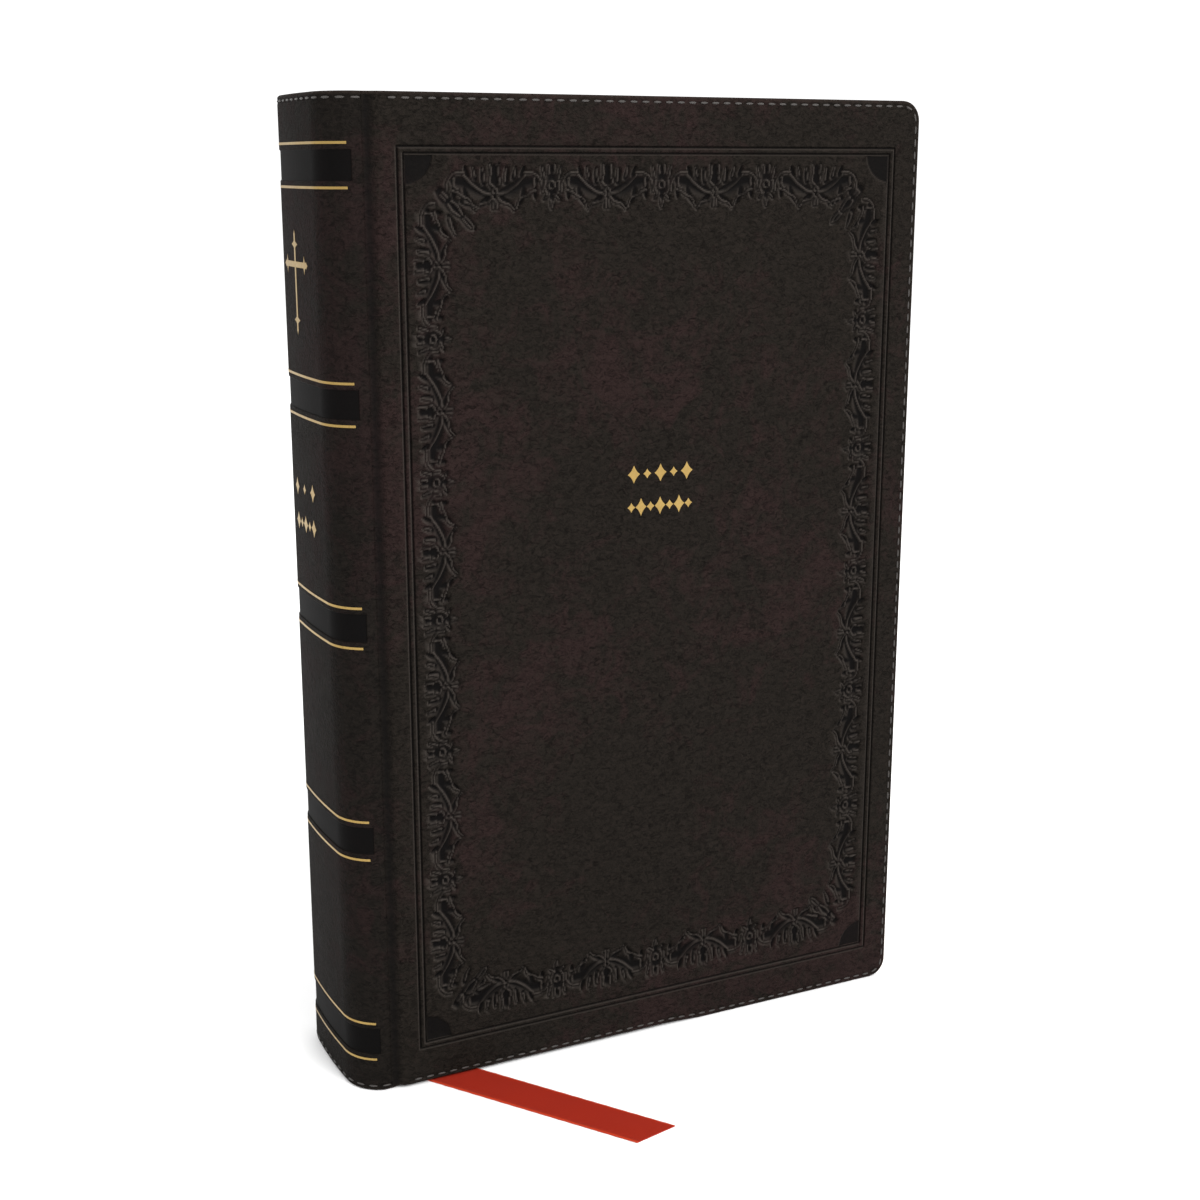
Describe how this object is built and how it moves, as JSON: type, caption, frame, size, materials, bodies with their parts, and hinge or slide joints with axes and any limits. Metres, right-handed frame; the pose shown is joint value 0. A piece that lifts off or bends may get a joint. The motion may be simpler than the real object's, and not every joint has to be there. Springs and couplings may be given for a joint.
{
  "type": "bible",
  "caption": "Leather-covered devotional book standing upright, with a rounded spine, stitched turned-in covers, opening leaves and a ribbon marker.",
  "frame": {"origin": "middle of the closed book's footprint on the surface that it stands on", "axes": "+Z from tail to head, +X from spine to fore-edge, -Y out of the front cover"},
  "size_m": [0.1416, 0.0832, 0.216],
  "materials": {
    "cover_leather": "creased grain, very dark brown",
    "board": "grey board",
    "endpaper": "matt ivory endpaper",
    "page": "thin page paper with gilt edges",
    "thread": "light grey sewing thread",
    "mull": "open-weave starched cotton",
    "headband": "woven silk band in two colours",
    "ribbon": "fine ribbed satin, red-brown"
  },
  "bodies": {
    "root": {"spine_leather": "cover_leather", "spine_stiffener": "board", "spine_tail_stitching": "thread", "spine_head_stitching": "thread", "front_joint_leather": "cover_leather", "back_joint_leather": "cover_leather", "front_gutter": "page", "back_gutter": "page", "text_section_1": "page", "text_section_2": "page", "text_section_3": "page", "text_section_4": "page", "text_section_5": "page", "text_section_6": "page", "text_section_7": "page", "text_section_8": "page", "sewing_thread": "thread", "spine_mull": "mull", "headband": "headband", "tailband": "headband", "ribbon_marker": "ribbon", "ribbon_tail": "ribbon"},
    "front_cover": {"front_cover_leather": "cover_leather", "front_board": "board", "front_pastedown": "endpaper", "front_cover_stitching": "thread"},
    "front_flyleaf": {"front_flyleaf": "endpaper"},
    "front_leaves_1": {"front_leaves_1": "page"},
    "front_leaves_2": {"front_leaves_2": "page"},
    "front_leaves_3": {"front_leaves_3": "page"},
    "front_leaves_4": {"front_leaves_4": "page"},
    "back_cover": {"back_cover_leather": "cover_leather", "back_board": "board", "back_pastedown": "endpaper", "back_cover_stitching": "thread"},
    "back_flyleaf": {"back_flyleaf": "endpaper"},
    "back_leaves_1": {"back_leaves_1": "page"},
    "back_leaves_2": {"back_leaves_2": "page"},
    "back_leaves_3": {"back_leaves_3": "page"}
  },
  "joints": [
    {"name": "front_cover_hinge", "type": "hinge", "parent": "root", "child": "front_cover", "pos_m": [-0.0613, -0.02, 0.108], "axis": [0, 0, -1], "range_deg": [0, 178]},
    {"name": "front_flyleaf_turn", "type": "hinge", "parent": "root", "child": "front_flyleaf", "pos_m": [-0.0613, -0.02, 0.108], "axis": [0, 0, -1], "range_deg": [0, 178]},
    {"name": "front_leaves_1_turn", "type": "hinge", "parent": "root", "child": "front_leaves_1", "pos_m": [-0.0613, -0.02, 0.108], "axis": [0, 0, -1], "range_deg": [0, 150]},
    {"name": "front_leaves_2_turn", "type": "hinge", "parent": "root", "child": "front_leaves_2", "pos_m": [-0.0613, -0.02, 0.108], "axis": [0, 0, -1], "range_deg": [0, 120]},
    {"name": "front_leaves_3_turn", "type": "hinge", "parent": "root", "child": "front_leaves_3", "pos_m": [-0.0613, -0.02, 0.108], "axis": [0, 0, -1], "range_deg": [0, 80]},
    {"name": "front_leaves_4_turn", "type": "hinge", "parent": "root", "child": "front_leaves_4", "pos_m": [-0.0613, -0.02, 0.108], "axis": [0, 0, -1], "range_deg": [0, 45]},
    {"name": "back_cover_hinge", "type": "hinge", "parent": "root", "child": "back_cover", "pos_m": [-0.0613, 0.02, 0.108], "axis": [0, 0, 1], "range_deg": [0, 178]},
    {"name": "back_flyleaf_turn", "type": "hinge", "parent": "root", "child": "back_flyleaf", "pos_m": [-0.0613, 0.02, 0.108], "axis": [0, 0, 1], "range_deg": [0, 178]},
    {"name": "back_leaves_1_turn", "type": "hinge", "parent": "root", "child": "back_leaves_1", "pos_m": [-0.0613, 0.02, 0.108], "axis": [0, 0, 1], "range_deg": [0, 150]},
    {"name": "back_leaves_2_turn", "type": "hinge", "parent": "root", "child": "back_leaves_2", "pos_m": [-0.0613, 0.02, 0.108], "axis": [0, 0, 1], "range_deg": [0, 110]},
    {"name": "back_leaves_3_turn", "type": "hinge", "parent": "root", "child": "back_leaves_3", "pos_m": [-0.0613, 0.02, 0.108], "axis": [0, 0, 1], "range_deg": [0, 60]}
  ],
  "couplings": [
    {"joint": "front_flyleaf_turn", "follows": "front_cover_hinge", "ratio": 0.94},
    {"joint": "front_leaves_1_turn", "follows": "front_cover_hinge", "ratio": 0.8},
    {"joint": "front_leaves_2_turn", "follows": "front_cover_hinge", "ratio": 0.62},
    {"joint": "front_leaves_3_turn", "follows": "front_cover_hinge", "ratio": 0.42},
    {"joint": "front_leaves_4_turn", "follows": "front_cover_hinge", "ratio": 0.22},
    {"joint": "back_flyleaf_turn", "follows": "back_cover_hinge", "ratio": 0.94},
    {"joint": "back_leaves_1_turn", "follows": "back_cover_hinge", "ratio": 0.76},
    {"joint": "back_leaves_2_turn", "follows": "back_cover_hinge", "ratio": 0.54},
    {"joint": "back_leaves_3_turn", "follows": "back_cover_hinge", "ratio": 0.28}
  ]
}
